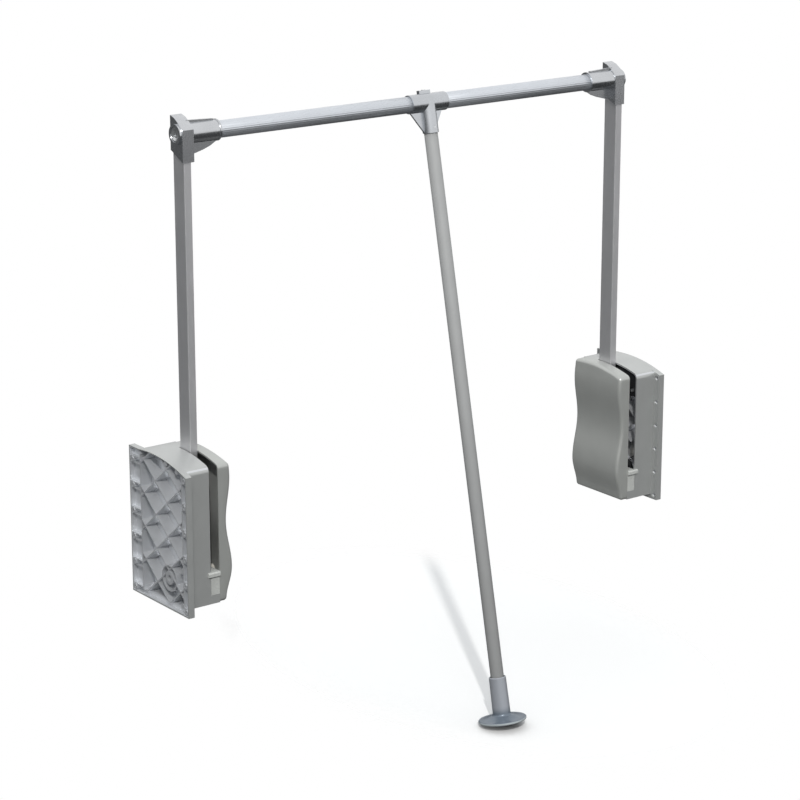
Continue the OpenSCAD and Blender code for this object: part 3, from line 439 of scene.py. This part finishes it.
def cover_sheet(inset):
    """The waved face with rounded edges, drawn in by inset: a grid of points."""
    radius = EDGE_R - inset
    y0, y1 = BODY_Y[0] + inset, BODY_Y[1] - inset
    low = BODY_LOW + inset
    cols, rows = spread(CELLS_ACROSS), spread(CELLS_UP)
    out = []
    for sv, q, side_v in rows:
        for su, p, side_u in cols:
            a = radius * p * math.sqrt(1 - q * q / 2)
            b = radius * q * math.sqrt(1 - p * p / 2)
            y = y0 + radius + (y1 - y0 - 2 * radius) * su + side_u * a
            high = top_z(y) - inset
            z = low + radius + (high - low - 2 * radius) * sv + side_v * b
            drop = radius - math.sqrt(max(0.0, radius ** 2 - a * a - b * b))
            out.append((wave_x(z) - inset - drop, y, z))
    return out, len(rows), len(cols)


def rim_of(rows, cols):
    """Indices round the edge of a grid."""
    loop = list(range(cols))
    loop += [r * cols + cols - 1 for r in range(1, rows)]
    loop += [(rows - 1) * cols + c for c in range(cols - 2, -1, -1)]
    loop += [r * cols for r in range(rows - 2, 0, -1)]
    return loop


def ring_faces(a, b):
    """Quads between two closed rings of points."""
    count = len(a)
    return [(a[k], b[k], b[(k + 1) % count], a[(k + 1) % count]) for k in range(count)]


def make_cover(side):
    """Thin waved cover: an outer and an inner sheet, each with a skirt to the seam, joined there."""
    flip = side == "right"
    outer, rows, cols = cover_sheet(0.0)
    inner, _, _ = cover_sheet(SKIN)
    verts = outer + inner
    faces = grid_faces(rows, cols) + grid_faces(rows, cols, len(outer), turn=True)
    seam_rings = []
    for start in (0, len(outer)):
        rim = [start + i for i in rim_of(rows, cols)]
        ring = rim
        for share in SKIRT_SHARES:
            last = ring
            ring = []
            for i in rim:
                x, y, z = verts[i]
                ring.append(len(verts))
                verts.append((x + (SEAM_X + LIE_GAP - x) * share, y, z))
            quads = ring_faces(last, ring)
            faces += quads if start == 0 else [tuple(reversed(quad)) for quad in quads]
        seam_rings.append(ring)
    faces += ring_faces(*seam_rings)
    obj = piece(side + "_cover_shell", verts, faces, side + "_housing", "cover_plastic", flip=flip)
    tidy(obj, COVER_SHARP)
    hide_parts(side + "_cover")


# Part: fluted tubes
FLUTE_POINTS = 6
FLUTE_POWER = 0.7
END_CHAMFER = 0.0006
TUBE_SHARP = 60
ROD_FLUTES = 28
ROD_FLUTE_D = 0.00026
HANDLE_FLUTES = 30
HANDLE_FLUTE_D = 0.00012


def circle(radii):
    """Points round an axis, one at each radius."""
    angles = [2 * math.pi * k / len(radii) for k in range(len(radii))]
    return [(r * math.cos(angle), r * math.sin(angle)) for r, angle in zip(radii, angles)]


def fluted_tube(name, span, place, r_out, wall, flutes, depth, body, slot, turn, node):
    """Tube with fine rounded flutes along its length. turn maps (along, a, b) to the part's frame."""
    start, end = span
    n = flutes * FLUTE_POINTS
    wave = [0.5 - 0.5 * math.cos(2 * math.pi * k / FLUTE_POINTS) for k in range(n)]
    outer = circle([r_out - depth * w ** FLUTE_POWER for w in wave])
    inner = circle([r_out - wall] * n)
    small = 1 - END_CHAMFER / r_out
    stations = [
        (start, outer, small), (start + END_CHAMFER, outer, 1.0),
        (end - END_CHAMFER, outer, 1.0), (end, outer, small),
        (end, inner, 1.0), (start, inner, 1.0),
    ]
    verts, faces = [], []
    for along, profile, scale in stations:
        verts += [turn(along, a * scale + place[0], b * scale + place[1]) for a, b in profile]
    for s in range(len(stations)):
        a, b = s * n, (s + 1) % len(stations) * n
        faces += ring_faces(range(a, a + n), range(b, b + n))
    obj = piece(name, verts, faces, body, slot)
    tidy(obj, TUBE_SHARP)
    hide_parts(node)


def rod_skin(side, start, end):
    """Skin of one rod tube, which lies along x."""
    fluted_tube(side + "_rod_skin", (start, end), (0, ROD_Z), ROD_R, ROD_WALL, ROD_FLUTES, ROD_FLUTE_D,
                side + "_arm", "rod_aluminium", lambda s, a, b: (s, a, b), side + "_rod_tube")


def in_handle(along, a, b):
    """A point by its place along and across the leaning handle, in the part's frame."""
    return (a, b * math.cos(LEAN) + along * math.sin(LEAN),
            ROD_Z - b * math.sin(LEAN) + along * math.cos(LEAN))


def make_tubes():
    """Skins of both rod tubes and of the handle's tube."""
    lo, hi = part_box("left_rod_tube")
    rod_skin("left", lo.x, hi.x)
    lo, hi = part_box("right_rod_tube")
    rod_skin("right", lo.x, hi.x)
    fluted_tube("handle_skin", (FOOT_SEAT - HANDLE_LEN, -HANDLE_TOP), (COLLAR_X, -HANDLE_OFFSET),
                HANDLE_R, HANDLE_WALL, HANDLE_FLUTES, HANDLE_FLUTE_D, "handle", "handle_aluminium",
                in_handle, "handle_tube")


# Part: the room's light by direction, and the suns as power and angle in degrees
ROOM_COLOR = (0.96, 0.985, 1.0, 1.0)
ROOM_TOP = 1.12
ROOM_LEVEL = 0.10
ROOM_LEAST = 0.05
ROOM_LEFT = 0.10
ROOM_FRONT = 0.04
SUNS = ((1.5, 1.6), (0.3, 24))
SUN_COLOR = (1.0, 0.99, 0.97)
SUN_WAY = (0.54, 0.80, -0.78)
GLOSS_TILT = 0.11
GLOSS_FADE = (-0.05, 0.12)


def aim(obj, way):
    """Turns a lamp or a camera to look along a direction."""
    obj.rotation_mode = "QUATERNION"
    obj.rotation_quaternion = Vector(way).to_track_quat("-Z", "Y")


def room_light(tree, x, y, z):
    """Strength of the room in a direction: most above, a little more at the left and the front."""
    up = maths(tree, "MULTIPLY", maths(tree, "MAXIMUM", z, 0.0), ROOM_TOP)
    left = maths(tree, "MULTIPLY", x, -ROOM_LEFT)
    front = maths(tree, "MULTIPLY", y, -ROOM_FRONT)
    level = maths(tree, "ADD", maths(tree, "ADD", left, front), ROOM_LEVEL)
    return maths(tree, "ADD", up, maths(tree, "MAXIMUM", level, ROOM_LEAST))


def white_share(tree, x, y, z):
    """Where the room is plain white: for the camera, and above a tilted edge for shine."""
    rays = tree.nodes.new("ShaderNodeLightPath").outputs
    tilt = maths(tree, "MULTIPLY", maths(tree, "SUBTRACT", x, y), GLOSS_TILT)
    above = fade(tree, maths(tree, "ADD", z, tilt), *GLOSS_FADE)
    shine = maths(tree, "MAXIMUM", rays["Is Glossy Ray"], rays["Is Transmission Ray"])
    return maths(tree, "MAXIMUM", rays["Is Camera Ray"], maths(tree, "MULTIPLY", shine, above))


def add_sun(power, angle):
    lamp = bpy.data.lights.new("sun", "SUN")
    lamp.energy = power
    lamp.angle = math.radians(angle)
    lamp.color = SUN_COLOR
    sun = bpy.data.objects.new("sun", lamp)
    bpy.context.scene.collection.objects.link(sun)
    aim(sun, SUN_WAY)


def studio():
    """White room with soft light and suns from the front left."""
    world = bpy.data.worlds.new("studio")
    bpy.context.scene.world = world
    world.use_nodes = True
    tree = world.node_tree
    way = parts_of(tree, tree.nodes.new("ShaderNodeTexCoord").outputs["Generated"])
    soft = tree.nodes["Background"]
    put(soft.inputs["Color"], ROOM_COLOR)
    put(soft.inputs["Strength"], room_light(tree, *way))
    white = add(tree, "ShaderNodeBackground", Color=grey(1.0), Strength=1.0)
    room = mix_shaders(tree, white_share(tree, *way), soft.outputs[0], white.outputs[0])
    put(tree.nodes["World Output"].inputs["Surface"], room)
    for power, angle in SUNS:
        add_sun(power, angle)
    bpy.context.scene.view_settings.view_transform = "Standard"


# Part: floor, with its grey for the camera, for bounced light and for shine
FLOOR_HALF = 2.6
FLOOR_DROP = 0.002
FLOOR_SHOWN = 0.87
FLOOR_BOUNCE = 0.32
FLOOR_GLOSS = 0.12
FLOOR_MID = (0.80, 0.12)
FLOOR_SQUEEZE = 1.6
FLOOR_NEAR = 0.48
FLOOR_FAR = 0.70


def floor_material():
    """Matt sheet that fades out past an oval about the handle's shadow."""
    mat = bpy.data.materials.new("floor")
    mat.use_nodes = True
    tree = mat.node_tree
    tree.nodes.remove(tree.nodes["Principled BSDF"])
    rays = tree.nodes.new("ShaderNodeLightPath").outputs
    tone = mix(tree, "RGBA", rays["Is Glossy Ray"], grey(FLOOR_BOUNCE), grey(FLOOR_GLOSS))
    tone = mix(tree, "RGBA", rays["Is Camera Ray"], tone, grey(FLOOR_SHOWN))
    sheet = add(tree, "ShaderNodeBsdfDiffuse", Color=tone)
    clear = tree.nodes.new("ShaderNodeBsdfTransparent")
    x, y, _ = parts_of(tree, own_place(tree))
    dx = maths(tree, "MULTIPLY", maths(tree, "SUBTRACT", x, FLOOR_MID[0]), FLOOR_SQUEEZE)
    dy = maths(tree, "SUBTRACT", y, FLOOR_MID[1])
    gone = fade(tree, distance(tree, dx, dy), FLOOR_NEAR, FLOOR_FAR)
    shader = mix_shaders(tree, gone, sheet.outputs[0], clear.outputs[0])
    put(tree.nodes["Material Output"].inputs["Surface"], shader)
    return mat


def floor():
    """Sheet under the object that keeps its shadow and fades into the white room."""
    half = FLOOR_HALF
    low = CAD_BOX[0].z - FLOOR_DROP
    corners = [(-half, -half, low), (half, -half, low), (half, half, low), (-half, half, low)]
    mesh = bpy.data.meshes.new("floor")
    mesh.from_pydata(corners, [], [(0, 1, 2, 3)])
    obj = bpy.data.objects.new("floor", mesh)
    bpy.context.scene.collection.objects.link(obj)
    obj.data.materials.append(floor_material())


# Part: camera of the photo
CAMERA_AT = (-2.2836, -3.7326, 1.5025)
CAMERA_WAY = (0.5785, 0.7672, -0.2769)
CAMERA_LENS = 117.8
CAMERA_SENSOR = 36.0
CAMERA_REACH = 60


def camera():
    """The view that the photo has."""
    data = bpy.data.cameras.new("camera")
    data.sensor_width = CAMERA_SENSOR
    data.lens = CAMERA_LENS
    data.clip_end = CAMERA_REACH
    obj = bpy.data.objects.new("camera", data)
    bpy.context.scene.collection.objects.link(obj)
    obj.location = CAMERA_AT
    aim(obj, CAMERA_WAY)
    bpy.context.scene.camera = obj


camera()
studio()
floor()

for side in ("left", "right"):
    for name, width in SIDE_EDGES.items():
        soften(NODES[side + name], width)
    make_cover(side)
soften(NODES["handle_collar"], COLLAR_EDGE)
make_tubes()
